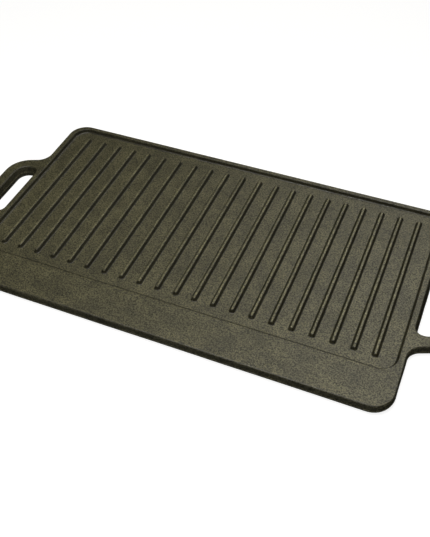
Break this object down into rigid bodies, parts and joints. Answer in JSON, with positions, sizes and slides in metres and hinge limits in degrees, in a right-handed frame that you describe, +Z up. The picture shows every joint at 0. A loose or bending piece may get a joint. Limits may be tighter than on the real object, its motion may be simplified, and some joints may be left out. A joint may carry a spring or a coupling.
{
  "type": "reversible griddle plate",
  "caption": "Rectangular cast-iron griddle with a recessed ribbed grill side, a wide front land, a smooth reverse side and a loop handle at each end.",
  "frame": {"origin": "centre of the plate's footprint, on the surface that the underside lip rests on", "axes": "+X along the length from handle to handle, +Y towards the narrow back rim, +Z up out of the ribbed grill side"},
  "size_m": [0.508, 0.254, 0.0127],
  "materials": {
    "seasoned_iron": "matt oiled sand casting with a fine grain"
  },
  "bodies": {
    "root": {"griddle": "seasoned_iron"}
  },
  "joints": []
}
